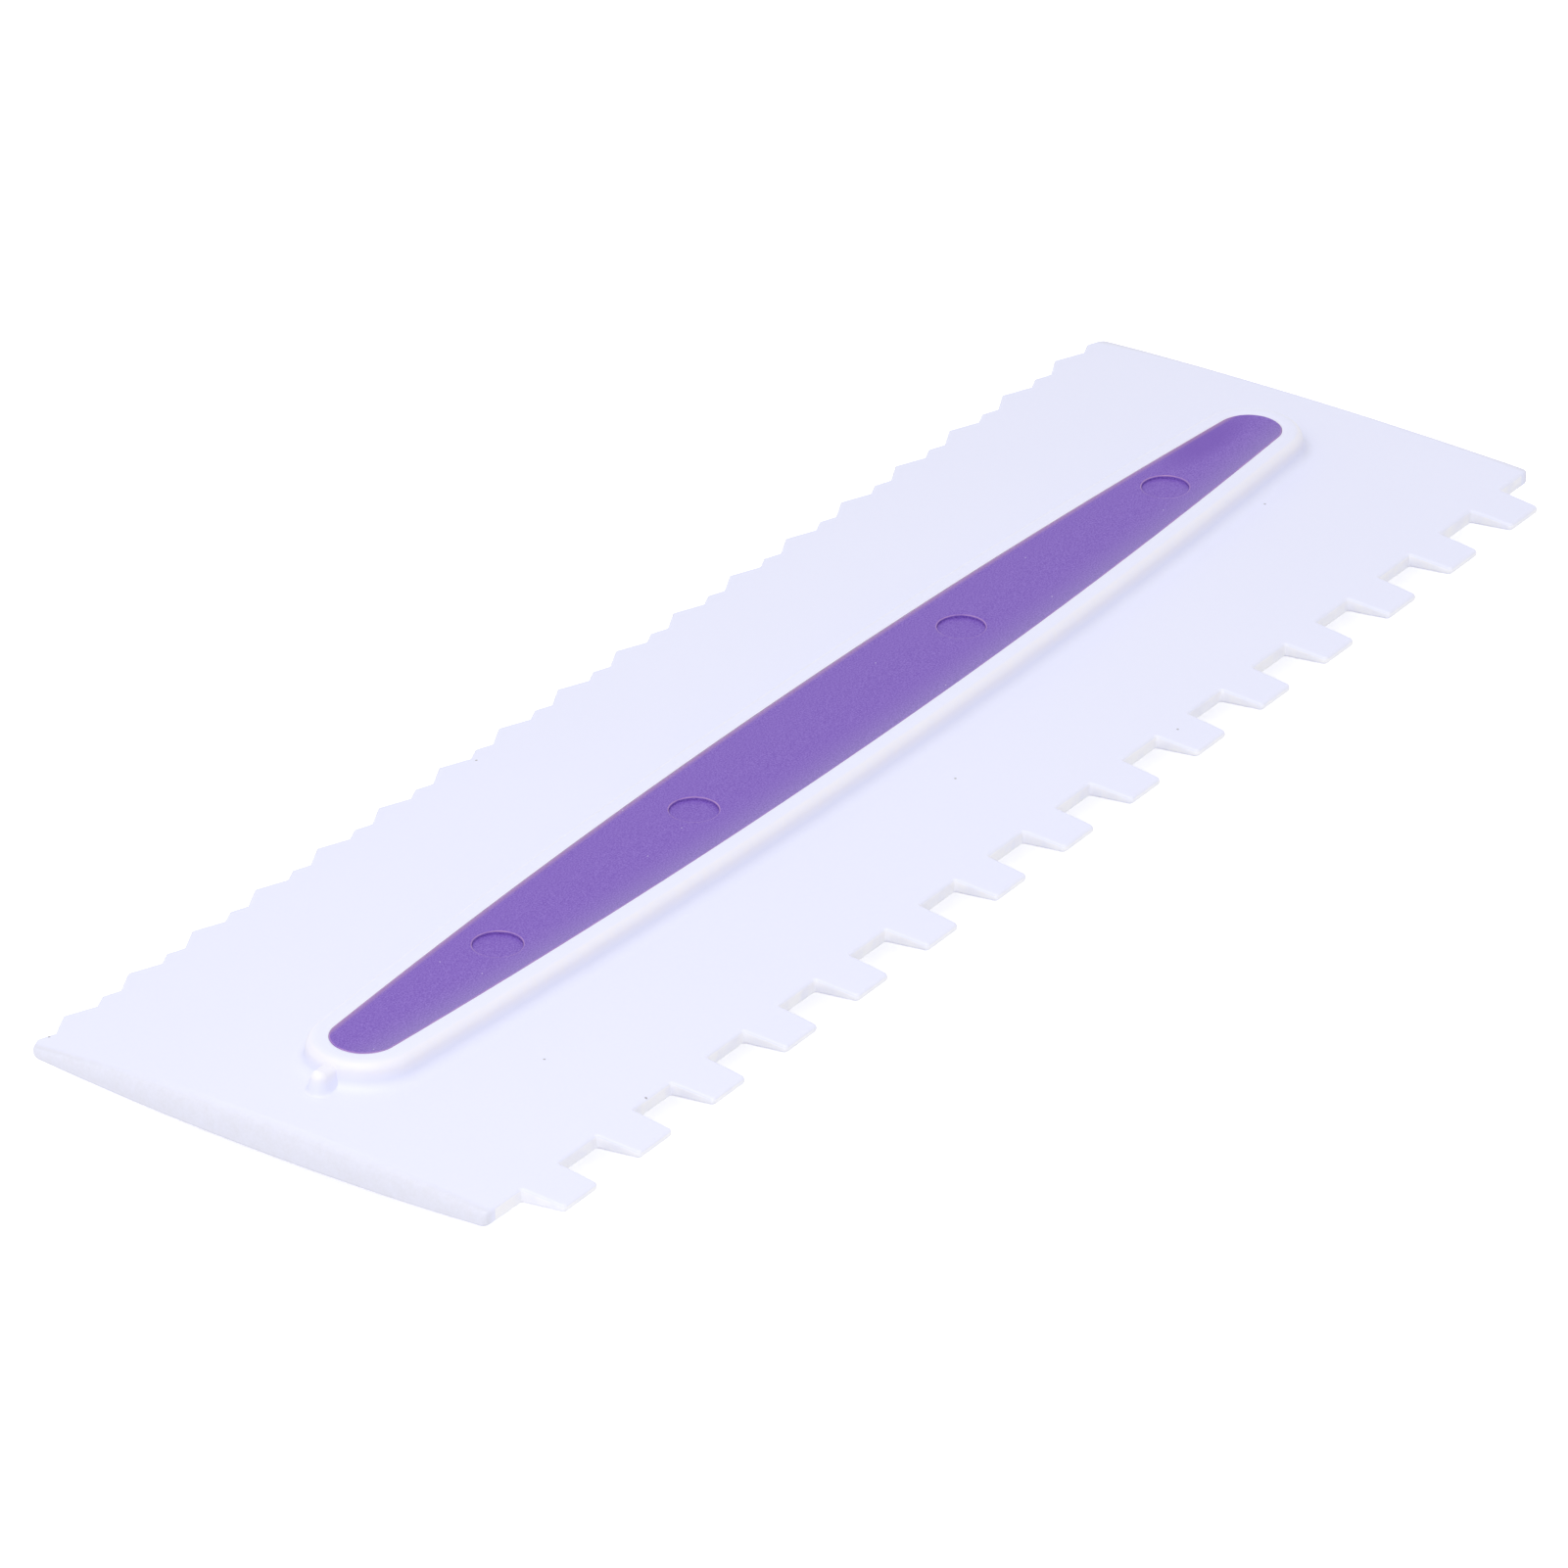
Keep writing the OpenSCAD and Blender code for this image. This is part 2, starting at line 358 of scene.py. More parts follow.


# %% Painted shade and a warmer tone on the white
# Where the painted shade on the end walls starts and is full, and the clouds that break up both
# masks
END_SHADE_FROM = 113.0 * MM
END_SHADE_FULL = 113.9 * MM
WHITE_CLOUD = 1.5 * MM
WHITE_CLOUD_DETAIL = 3.0
WHITE_CLOUD_LEAST = 0.7
# Heights on the rim between which the warmer tone rises, stays full and fades again
SHOULDER = (3.2 * MM, 4.4 * MM, 5.25 * MM, 5.42 * MM)


def make_white_shade_and_tone():
    """Cloudy masks of painted shade on the end walls and of a warmer tone on the rims' shoulders;
    no shade spot.
    """
    group, given, out = new_group("white_shade_and_tone", {"Vector": None}, ("Painted Light", "Band", "Shade Spot"))
    place = add_node(group, "ShaderNodeSeparateXYZ", Vector=given["Vector"]).outputs
    clouds = cloudy(group, given["Vector"], WHITE_CLOUD, WHITE_CLOUD_DETAIL, WHITE_CLOUD_LEAST)
    # Painted shade on the end walls, in clouds
    end_shade = ramp(group, calc(group, "ABSOLUTE", place["X"]), END_SHADE_FROM, END_SHADE_FULL)
    height = calc(group, "ABSOLUTE", place["Z"])
    above = ramp(group, height, SHOULDER[0], SHOULDER[1])
    below = ramp(group, height, SHOULDER[2], SHOULDER[3], 1.0, 0.0)
    shoulder = calc(group, "MULTIPLY", above, below)
    group.links.new(calc(group, "MULTIPLY", end_shade, clouds), out["Painted Light"])
    group.links.new(calc(group, "MULTIPLY", shoulder, clouds), out["Band"])
    return group


white_shade_and_tone = make_white_shade_and_tone()
# Where the painted shade on the end walls begins
print("group", white_shade_and_tone.name, "starts its film at x =", round(END_SHADE_FROM / MM, 1), "mm")


# %% Painted light on the purple
# Half the inlay's width and the radius of its long arcs, along which the masks run
MASK_HALF_W = 7.95 * MM
MASK_ARC = 1260.7 * MM
# How far the painted sheen reaches in from one long edge and how it fades, and how far the
# painted highlight reaches from the other
SHEEN_REACH = 5.5 * MM
SHEEN_FADE = 2.0
HIGHLIGHT_REACH = 0.9 * MM
# Middle and reach of the oval painted shade near the far end, and how much of the haze it takes
# away
SHADE_SPOT_PLACE = (89.5 * MM, 2.7 * MM)
SHADE_SPOT_REACH = (10.5 * MM, 3.4 * MM)
SHADE_SPOT_FULL = 0.1
SHADE_SPOT_MOST = 0.72


def make_purple_painted_light():
    """Masks of a painted sheen and a painted highlight that fade in from the inlay's long edges,
    and of an oval painted shade.
    """
    group, given, out = new_group("purple_painted_light", {"Vector": None}, ("Painted Light", "Band", "Shade Spot"))
    place = add_node(group, "ShaderNodeSeparateXYZ", Vector=given["Vector"]).outputs
    squared = calc(group, "MULTIPLY", place["X"], place["X"])
    bow = calc(group, "MULTIPLY", squared, 0.5 / MASK_ARC)
    from_low = calc(group, "SUBTRACT", place["Y"], bow)
    from_high = calc(group, "ADD", place["Y"], bow)
    # Painted sheen along one long side
    sheen = ramp(group, from_low, -MASK_HALF_W, SHEEN_REACH - MASK_HALF_W, 1.0, 0.0)
    # Painted highlight along the very edge of the other long side
    highlight = ramp(group, from_high, MASK_HALF_W - HIGHLIGHT_REACH, MASK_HALF_W)
    group.links.new(calc(group, "POWER", sheen, SHEEN_FADE), out["Painted Light"])
    group.links.new(highlight, out["Band"])
    # An oval of painted shade near the far end
    spread = 0.0
    for axis, middle, reach in zip("XY", SHADE_SPOT_PLACE, SHADE_SPOT_REACH):
        away = calc(group, "DIVIDE", calc(group, "SUBTRACT", place[axis], middle), reach)
        spread = calc(group, "ADD", calc(group, "MULTIPLY", away, away), spread)
    group.links.new(ramp(group, spread, SHADE_SPOT_FULL, 1.0, SHADE_SPOT_MOST, 0.0), out["Shade Spot"])
    return group


purple_painted_light = make_purple_painted_light()
# The painted sheen fades in over this distance from one long edge
print("group", purple_painted_light.name, "rubs", round(SHEEN_REACH / MM, 1), "mm in from one edge")


# %% Dust group
# Radius of a speck as a share of the spacing of the cells
SPECK_SIZE = 0.012


def make_dust_group():
    """A mask of a few tiny specks: the middles of some Voronoi cells, chosen by their colour."""
    group, given, out = new_group(
        "dust_specks",
        {"Vector": None, "Spacing": 9 * MM, "Speck Size": SPECK_SIZE, "Share": 0.25},
        ("Speck",),
    )
    cells = add_node(
        group, "ShaderNodeTexVoronoi", {"voronoi_dimensions": "2D"}, Vector=given["Vector"],
        Scale=calc(group, "DIVIDE", 1.0, given["Spacing"]),
    )
    near = calc(group, "LESS_THAN", cells.outputs["Distance"], given["Speck Size"])
    lot = add_node(group, "ShaderNodeSeparateColor", Color=cells.outputs["Color"])
    drawn = calc(group, "LESS_THAN", lot.outputs["Red"], given["Share"])
    group.links.new(calc(group, "MULTIPLY", near, drawn), out["Speck"])
    return group


dust_group = make_dust_group()
print("group", dust_group.name, "draws specks with a radius of", SPECK_SIZE, "of their spacing")


# %% [markdown]
# ## The two plastics
# One recipe serves both. The base colour drifts a little, and each of its two masks, the
# painted light and the band, has a tone of its own. Over them lies the pale haze of the grain,
# except in the shade spot, where taking it away paints shade. Edges are a touch lighter,
# partly from wear and partly as painted highlights, dust has its own colour, and the roughness
# and the bump come from the same grain. The white is a satin polypropylene with a cool tint.
# The purple has a finer, stronger matte skin.


# %% Plastic recipe
ROUNDING = "rounding"
SPARKLE_FROM = 0.35
SPARKLE_FULL = 0.75
# Places of the colour sockets on a Mix node, which has sockets of one name for every type
MIX_ONE = 6
MIX_TWO = 7
MIX_RESULT = 2


def mix_colour(tree, factor, one, two):
    """Blend two colours, each a value or another node's output."""
    node = add_node(tree, "ShaderNodeMix", {"data_type": "RGBA"}, Factor=factor)
    feed(tree, node.inputs[MIX_ONE], one)
    feed(tree, node.inputs[MIX_TWO], two)
    return node.outputs[MIX_RESULT]


def make_plastic(name, look):
    """A moulded plastic; look holds its colours, roughness range, grain and speck values."""
    material = bpy.data.materials.new(name)
    material.use_nodes = True
    tree = material.node_tree
    shader = tree.nodes["Principled BSDF"]
    where = add_node(tree, "ShaderNodeTexCoord").outputs["Object"]
    grain = use_group(
        tree, grain_group, Vector=where,
        Grain_Size=look["grain_size"], Drift_Size=look["drift_size"],
    )
    rounding = add_node(tree, "ShaderNodeAttribute", {"attribute_name": ROUNDING}).outputs["Fac"]
    wear_light = use_group(tree, wear_light_group, Vector=where, Rounding=rounding)["Wear Light"]
    colour_masks = use_group(tree, look["colour_masks"], Vector=where)
    speck = use_group(
        tree, dust_group, Vector=where, Spacing=look["speck_spacing"], Share=look["speck_share"]
    )["Speck"]
    body = mix_colour(tree, grain["Drift"], look["dark"], look["light"])
    # The first mask paints shade on the white's end walls and a sheen on the purple, in the
    # marked tone
    marked = mix_colour(tree, colour_masks["Painted Light"], body, look["marked"])
    # The band is a warmer tone on the white's rim and a painted highlight on the purple's edge
    band_tone = mix_colour(tree, colour_masks["Band"], marked, look["band_tone"])
    sparkle = ramp(tree, grain["Grain"], SPARKLE_FROM, SPARKLE_FULL, 0.0, look["sparkle"])
    # In the shade spot the grain's pale haze is taken away, which paints shade there
    haze = calc(tree, "MULTIPLY", sparkle, calc(tree, "SUBTRACT", 1.0, colour_masks["Shade Spot"]))
    grainy = mix_colour(tree, haze, band_tone, look["grain_tone"])
    # Paler edges: partly wear, partly painted highlights, and painted light on the teeth's walls
    edged = mix_colour(tree, wear_light, grainy, look["worn_lit"])
    tree.links.new(mix_colour(tree, speck, edged, look["speck"]), shader.inputs["Base Color"])
    low, high = look["roughness"]
    feed(tree, shader.inputs["Roughness"], ramp(tree, grain["Grain"], 0.0, 1.0, low, high))
    bump = add_node(
        tree, "ShaderNodeBump",
        Height=grain["Grain"], Strength=1.0, Distance=look["grain_depth"],
    )
    tree.links.new(bump.outputs["Normal"], shader.inputs["Normal"])
    shader.inputs["IOR"].default_value = look["ior"]
    return material


print("the grain's haze starts where its noise is over", SPARKLE_FROM)


# %% White and purple
white_plastic = make_plastic("white_blade_plastic", {
    "dark": (0.798, 0.812, 0.985, 1.0),
    "light": (0.818, 0.830, 0.995, 1.0),
    "colour_masks": white_shade_and_tone,
    # The marked tone is the end walls' painted shade
    "marked": (0.730, 0.732, 0.832, 1.0),
    # A warmer, less blue tone on the rim's shoulders
    "band_tone": (0.872, 0.852, 0.925, 1.0),
    "grain_tone": (0.840, 0.850, 0.990, 1.0),
    "sparkle": 0.30,
    # Paler edges: partly wear, partly painted highlights, and painted light on the teeth's walls
    "worn_lit": (0.950, 0.945, 0.990, 1.0),
    "speck": (0.45, 0.44, 0.50, 1.0),
    "roughness": (0.40, 0.52),
    "grain_size": 0.5 * MM,
    "grain_depth": 0.002 * MM,
    "drift_size": 40 * MM,
    "speck_spacing": 14 * MM,
    "speck_share": 0.12,
    "ior": 1.49,
})
purple_plastic = make_plastic("purple_inlay_plastic", {
    "dark": (0.133, 0.046, 0.412, 1.0),
    "light": (0.147, 0.052, 0.434, 1.0),
    "colour_masks": purple_painted_light,
    # The marked tone is the painted sheen along one long side
    "marked": (0.205, 0.145, 0.426, 1.0),
    # The painted highlight along the other long edge
    "band_tone": (0.380, 0.220, 0.380, 1.0),
    "grain_tone": (0.440, 0.310, 0.800, 1.0),
    "sparkle": 0.50,
    # Paler edges: partly wear, partly painted highlights
    "worn_lit": (0.460, 0.270, 0.570, 1.0),
    "speck": (0.60, 0.55, 0.75, 1.0),
    "roughness": (0.42, 0.58),
    "grain_size": 0.20 * MM,
    "grain_depth": 0.008 * MM,
    "drift_size": 60 * MM,
    "speck_spacing": 7 * MM,
    "speck_share": 0.20,
    "ior": 1.49,
})
print("materials:", white_plastic.name, "and", purple_plastic.name)

# %% [markdown]
# ## Sizes
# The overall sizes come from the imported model: how long, wide and high the blade and its
# handle are, the inlay's outline and how far its crown and the pins' ends reach. Only what a
# box can't say, such as a radius or a pitch, is written here, and it repeats the CAD value.

# %% Sizes from the frame
blade_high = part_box("comb_blade")[1]
inlay_low, inlay_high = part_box("upper_grip")
lower_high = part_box("lower_grip")[1]
HALF_LEN = blade_high.x
HALF_W = blade_high.y
HANDLE_H = blade_high.z
INLAY_HALF_LEN = inlay_high.x
INLAY_HALF_W = inlay_high.y
WEB_HALF = inlay_low.z
CROWN_Z = inlay_high.z
PIN_TOP_Z = lower_high.z
print("blade", [round(2 * s / MM, 2) for s in (HALF_LEN, HALF_W, HANDLE_H)], "mm")
print("inlay", [round(2 * s / MM, 2) for s in (INLAY_HALF_LEN, INLAY_HALF_W)], "mm")

# %% Sizes of the blade and its teeth
MID_HALF_T = 2.15 * MM
EDGE_HALF_T = 0.5 * MM
EDGE_ROUND = 0.42 * MM
END_ROUND_TOP = 1.9 * MM
END_ROUND_BOTTOM = 0.4 * MM

TOOTH_PITCH = 14.83 * MM
TOOTH_ROOT_W = 7.3 * MM
TOOTH_TIP_W = 6.7 * MM
TOOTH_DEPTH = 6 * MM
TOOTH_COUNT = 15

LARGE_POINT_H = 2 * MM
SMALL_POINT_W = 4.56 * MM
SMALL_POINT_H = 1 * MM
PAIR_COUNT = 18
PAIR_PITCH = (2 * HALF_LEN - SMALL_POINT_W) / PAIR_COUNT

# Radius of the wide arc of either face, across the blade
FACE_RISE = MID_HALF_T - EDGE_HALF_T
FACE_R = (HALF_W ** 2 + FACE_RISE ** 2) / (2 * FACE_RISE)
print("face radius", round(FACE_R / MM, 1), "mm")
print("pitch of the points", round(PAIR_PITCH / MM, 3), "mm")


# %% Heights of the blade's face
def face_z(y):
    """Height of the upper face at the distance y from the centre line."""
    return MID_HALF_T - FACE_R + math.sqrt(FACE_R ** 2 - y ** 2)


print("half thickness at the tips", round(face_z(HALF_W) / MM, 3), "mm")

# %% [markdown]
# ## Chains, arcs and cuts
# Most outlines here are straight runs and arcs. A chain grows from one vertex: extrude it to
# the next corner, or spin it about a centre for an arc. Long faces are then cut across by
# planes, which is the quickest way to give a flat sheet enough vertices to be bent.


# %% Chain helpers
# Vertices nearer than the first are merged, and lengths under the second count as nothing
WELD = 0.002 * MM
TINY = 0.0001 * MM


def grow(bm, vert, to):
    """Extrude the chain's last vertex to a point."""
    new = bmesh.ops.extrude_vert_indiv(bm, verts=[vert])["verts"][0]
    new.co = to
    return new


def swing(bm, vert, centre, degrees, steps, axis=(0, 0, 1)):
    """Spin the chain's last vertex about a centre, which draws an arc."""
    made = bmesh.ops.spin(
        bm, geom=[vert], cent=centre, axis=axis, angle=math.radians(degrees), steps=steps
    )
    return next(g for g in made["geom_last"] if isinstance(g, bmesh.types.BMVert))


def touching(faces):
    """The faces with all their edges and vertices, as bisect_plane wants them."""
    edges = {e for f in faces for e in f.edges}
    verts = {v for f in faces for v in f.verts}
    return [*verts, *edges, *faces]


def cut_planes(bm, choose, axis, places):
    """Cut the chosen faces by planes square to the X or Y axis at the given places."""
    normal = (1, 0, 0) if axis == "X" else (0, 1, 0)
    for place in places:
        faces = [f for f in bm.faces if choose(f)]
        point = [n * place for n in normal]
        bmesh.ops.bisect_plane(
            bm, geom=touching(faces), dist=TINY, plane_co=point, plane_no=normal
        )


def open_loops(bm):
    """Edges that only one face uses."""
    return [e for e in bm.edges if len(e.link_faces) == 1]


def describe(name, bm):
    """Print how a closed mesh stands."""
    volume = round(bm.calc_volume(signed=True) / MM ** 3)
    print(f"{name}: {len(bm.faces)} faces, {len(open_loops(bm))} open edges, {volume} mm3")


print("vertices nearer than", round(WELD / MM, 4), "mm are merged")


# %% [markdown]
# ## The blade's outline
# Seen from above the blade is a long strip with two toothed edges. We walk round it once,
# corner by corner, and keep some corners in lists by kind, because each kind gets its own
# rounding: the four corners of the blade are the softest, and a mould cutter leaves the
# tips of the teeth softer than the bottoms of the notches. The small points stay crisp.
# Bevelling a vertex of a flat face rounds that corner in the plane.

# %% Roundings of the corners
TIP_ROUND = 0.55 * MM
ROOT_ROUND = 0.25 * MM
CORNER_ROUND = 0.9 * MM
CORNER_STEPS = 3


def walk_square_edge(bm, vert, kinds):
    """Grow the chain along the square teeth, towards +X."""
    root_y = TOOTH_DEPTH - HALF_W
    for index in range(TOOTH_COUNT):
        x = (index - (TOOTH_COUNT - 1) / 2) * TOOTH_PITCH
        for dx, y, kind in (
            (-TOOTH_ROOT_W / 2, root_y, "root"),
            (-TOOTH_TIP_W / 2, -HALF_W, "tip"),
            (TOOTH_TIP_W / 2, -HALF_W, "tip"),
            (TOOTH_ROOT_W / 2, root_y, "root"),
        ):
            vert = grow(bm, vert, (x + dx, y, 0))
            kinds[kind].append(vert)
    vert = grow(bm, vert, (HALF_LEN, root_y, 0))
    kinds["corner"].append(vert)
    return vert


def walk_zigzag_edge(bm, vert, kinds):
    """Grow the chain along the large and small points, towards -X."""
    valley_y = HALF_W - LARGE_POINT_H
    for index in range(PAIR_COUNT, -1, -1):
        x = (index - PAIR_COUNT / 2) * PAIR_PITCH
        vert = grow(bm, vert, (x + SMALL_POINT_W / 2, valley_y, 0))
        if index == PAIR_COUNT:
            kinds["corner"].append(vert)
        vert = grow(bm, vert, (x, valley_y + SMALL_POINT_H, 0))
        vert = grow(bm, vert, (x - SMALL_POINT_W / 2, valley_y, 0))
        if index > 0:
            vert = grow(bm, vert, (x - PAIR_PITCH / 2, HALF_W, 0))
    kinds["corner"].append(vert)
    return vert


print("the walk passes", TOOTH_COUNT, "square teeth and", PAIR_COUNT, "large points")


# %% Outline face with rounded corners
def blade_outline(bm):
    """The flat outline of the blade as one face at z = 0."""
    kinds = {"tip": [], "root": [], "corner": []}
    first = bm.verts.new((-HALF_LEN, TOOTH_DEPTH - HALF_W, 0))
    kinds["corner"].append(first)
    last = walk_zigzag_edge(bm, walk_square_edge(bm, first, kinds), kinds)
    bm.edges.new((last, first))
    bmesh.ops.contextual_create(bm, geom=bm.edges[:])
    rounds = {"tip": TIP_ROUND, "root": ROOT_ROUND, "corner": CORNER_ROUND}
    for kind, radius in rounds.items():
        bmesh.ops.bevel(
            bm, geom=kinds[kind], affect="VERTICES", offset=radius,
            segments=CORNER_STEPS, profile=0.5, material=-1,
        )
    return bm.faces[:]


print("roundings of", [round(r / MM, 2) for r in (TIP_ROUND, ROOT_ROUND, CORNER_ROUND)], "mm")


# %% [markdown]
# ## Thickness and rounded edges
# The blade is a slim lens: thick in the middle and thin at the teeth. The lens would make
# every cut and bevel harder, so we first work on a plain flat slab that is as thick as the
# tips, round its rim there with one bevel, and bend it to the lens at the very end. Only the
# upper half is modelled. The lower face is its mirror image.

# %% Edge of the upper half
ROUND_STEPS = 4
# A face whose normal rises more than this is level
LEVEL = 0.999


def raise_edge(bm):
    """Extrude the outline to half the tips' thickness and round the upper rim of the slab."""
    outline = blade_outline(bm)
    raised = bmesh.ops.extrude_face_region(bm, geom=outline)["geom"]
    verts = [g for g in raised if isinstance(g, bmesh.types.BMVert)]
    bmesh.ops.translate(bm, verts=verts, vec=(0, 0, EDGE_HALF_T))
    rim = [e for e in bm.edges if all(abs(v.co.z - EDGE_HALF_T) < TINY for v in e.verts)]
    bmesh.ops.bevel(
        bm, geom=rim, affect="EDGES", offset=EDGE_ROUND, segments=ROUND_STEPS,
        profile=0.5, material=-1,
    )
    flat = [f for f in bm.faces if abs(f.normal.z) > LEVEL]
    bmesh.ops.delete(bm, geom=flat, context="FACES_ONLY")


blade_mesh = bmesh.new()
raise_edge(blade_mesh)
print("rounded edge:", len(blade_mesh.faces), "faces")

# %% [markdown]
# ## The handle's rim
# The handle is a low wall with a flat land on top, rounded outside, leaning a little so that
# it comes out of its mould, and flowing into the blade with a small fillet. Its plan is a
# spindle: two very long arcs that run into two small round ends. Where a long arc meets an
# end, both arcs share one radius line. So we draw the wall's section once on that line and
# spin it twice, about the centre of either arc. Half the rim appears, and turning a copy
# half way round gives the rest.

# %% Sizes of the handle
END_R = 4.3 * MM
RIM_LAND = 1.3 * MM
RIM_ROUND = 1.5 * MM
RIM_DRAFT = 8.0
FOOT_FILLET = 1.4 * MM
FOOT_FLAT = 0.4 * MM
POCKET_GAP = 0.01 * MM
LIP_ROUND = 0.08 * MM
LIP_ARC_R = 2.4 * MM
LIP_ARC = 18.0
LIP_STEPS = 3
LAND_STEPS = 5
TOP_STEPS = 8
FOOT_STEPS = 7
SIDE_STEPS = 64
END_STEPS = 32

END_X = INLAY_HALF_LEN - END_R
SIDE_R = (END_X ** 2 / (INLAY_HALF_W - END_R) + INLAY_HALF_W + END_R) / 2
SIDE_CENTRE_Y = SIDE_R - INLAY_HALF_W
JOIN_ANGLE = math.degrees(math.atan(END_X / SIDE_CENTRE_Y))
print("side arc of", round(SIDE_R / MM, 1), "mm")
print("it meets the end at", round(JOIN_ANGLE, 2), "degrees")

# The land sinks a little towards the pocket along a wide arc that starts above its lip
ARC_RUN = LIP_ARC_R * math.sin(math.radians(LIP_ARC))
ARC_Z = HANDLE_H - LIP_ARC_R * (1 - math.cos(math.radians(LIP_ARC)))
LIP_Z = ARC_Z - LIP_ROUND * math.cos(math.radians(LIP_ARC))
LAND_START = POCKET_GAP + LIP_ROUND * (1 - math.sin(math.radians(LIP_ARC))) + ARC_RUN

# The wall runs from the round at its top to the fillet at its foot
DRAFT_COS = math.cos(math.radians(RIM_DRAFT))
DRAFT_SIN = math.sin(math.radians(RIM_DRAFT))
FOOT_Z = face_z(INLAY_HALF_W + RIM_LAND + RIM_ROUND + FOOT_FILLET)
WALL_TOP = (RIM_LAND + RIM_ROUND * DRAFT_COS, HANDLE_H - RIM_ROUND + RIM_ROUND * DRAFT_SIN)
FILLET_Z = FOOT_Z + FOOT_FILLET
FILLET_X = WALL_TOP[0] + (FOOT_FILLET - (FILLET_Z - WALL_TOP[1]) * DRAFT_SIN) / DRAFT_COS
WALL_FOOT = (FILLET_X - FOOT_FILLET * DRAFT_COS, FILLET_Z - FOOT_FILLET * DRAFT_SIN)
print("the foot ends", round(FILLET_X / MM, 2), "mm outside the inlay")


# %% Section of the rim
def rim_section(bm):
    """The wall's section in the XZ plane, with x measured outwards from the inlay's outline."""
    y_axis = (0, 1, 0)
    vert = bm.verts.new((POCKET_GAP, 0, WEB_HALF))
    vert = grow(bm, vert, (POCKET_GAP, 0, LIP_Z))
    lip = (POCKET_GAP + LIP_ROUND, 0, LIP_Z)
    vert = swing(bm, vert, lip, 90 - LIP_ARC, LIP_STEPS, y_axis)
    vert = swing(bm, vert, (LAND_START, 0, HANDLE_H - LIP_ARC_R), LIP_ARC, LAND_STEPS, y_axis)
    vert = grow(bm, vert, (RIM_LAND, 0, HANDLE_H))
    top = (RIM_LAND, 0, HANDLE_H - RIM_ROUND)
    vert = swing(bm, vert, top, 90 - RIM_DRAFT, TOP_STEPS, y_axis)
    vert = grow(bm, vert, (WALL_FOOT[0], 0, WALL_FOOT[1]))
    vert = swing(bm, vert, (FILLET_X, 0, FILLET_Z), RIM_DRAFT - 90, FOOT_STEPS, y_axis)
    grow(bm, vert, (FILLET_X + FOOT_FLAT, 0, FOOT_Z))


def sweep_rim(bm):
    """The whole rim of one handle: two spins of the section, then a copy turned half way."""
    rim_section(bm)
    end_angle = 90 - JOIN_ANGLE
    turn = Matrix.Rotation(math.radians(end_angle), 3, "Z")
    bmesh.ops.translate(bm, verts=bm.verts, vec=(END_R, 0, 0))
    bmesh.ops.rotate(bm, verts=bm.verts, cent=(0, 0, 0), matrix=turn)
    bmesh.ops.translate(bm, verts=bm.verts, vec=(END_X, 0, 0))
    section = bm.verts[:] + bm.edges[:]
    bmesh.ops.spin(
        bm, geom=section, cent=(0, -SIDE_CENTRE_Y, 0), axis=(0, 0, 1),
        angle=math.radians(2 * JOIN_ANGLE), steps=SIDE_STEPS,
    )
    bmesh.ops.spin(
        bm, geom=section, cent=(END_X, 0, 0), axis=(0, 0, 1),
        angle=math.radians(-2 * end_angle), steps=END_STEPS,
    )
    half = bmesh.ops.duplicate(bm, geom=bm.verts[:] + bm.edges[:] + bm.faces[:])["geom"]
    bmesh.ops.rotate(
        bm, verts=[g for g in half if isinstance(g, bmesh.types.BMVert)],
        cent=(0, 0, 0), matrix=Matrix.Rotation(math.pi, 3, "Z"),
    )
    bmesh.ops.remove_doubles(bm, verts=bm.verts, dist=WELD)


rim_mesh = bmesh.new()
sweep_rim(rim_mesh)
print("rim:", len(rim_mesh.faces), "faces,", len(open_loops(rim_mesh)), "open edges in two loops")

# %% [markdown]
# ## Joining the rim and the blade
# The rim is copied into the blade's mesh. Its outer foot and the blade's rounded edge are
# two closed loops, and one fill between them makes the face of the blade. The inner foot and
# four circles bound the floor of the pocket, where the inlay's pins pass through. The fill
# needs both loops at one height, so the foot is lowered to the flat slab first.

# %% Sizes of the pins
PIN_R = 3.1 * MM
PIN_GAP = 0.015 * MM
PIN_X = (-69.4 * MM, -29 * MM, 29 * MM, 75.8 * MM)
PIN_STEPS = 48
PLATE = 0
RIM = 1


def pin_circles(bm, radius, z):
    """A ring of edges at each of the four pins."""
    rings = []
    for x in PIN_X:
        place = Matrix.Translation((x, 0, z))
        made = bmesh.ops.create_circle(bm, radius=radius, segments=PIN_STEPS, matrix=place)
        rings.append(list({e for v in made["verts"] for e in v.link_edges}))
    return rings


def add_rim(bm, rim):
    """Copy the rim into the blade's mesh; a face layer remembers which faces are its own."""
    part = bm.faces.layers.int.new("part")
    held = bpy.data.meshes.new("rim_copy")
    rim.to_mesh(held)
    before = set(bm.faces)
    bm.from_mesh(held)
    bpy.data.meshes.remove(held)
    for face in bm.faces:
        face[part] = RIM if face not in before else PLATE
    return part


def fill_between(bm, edges, part, value):
    """Fill the flat space between closed loops of edges."""
    made = bmesh.ops.triangle_fill(bm, use_beauty=True, use_dissolve=False, edges=edges)["geom"]
    faces = [g for g in made if isinstance(g, bmesh.types.BMFace)]
    for face in faces:
        face[part] = value
    return faces


print("pins at x =", [round(x / MM, 1) for x in PIN_X], "mm")


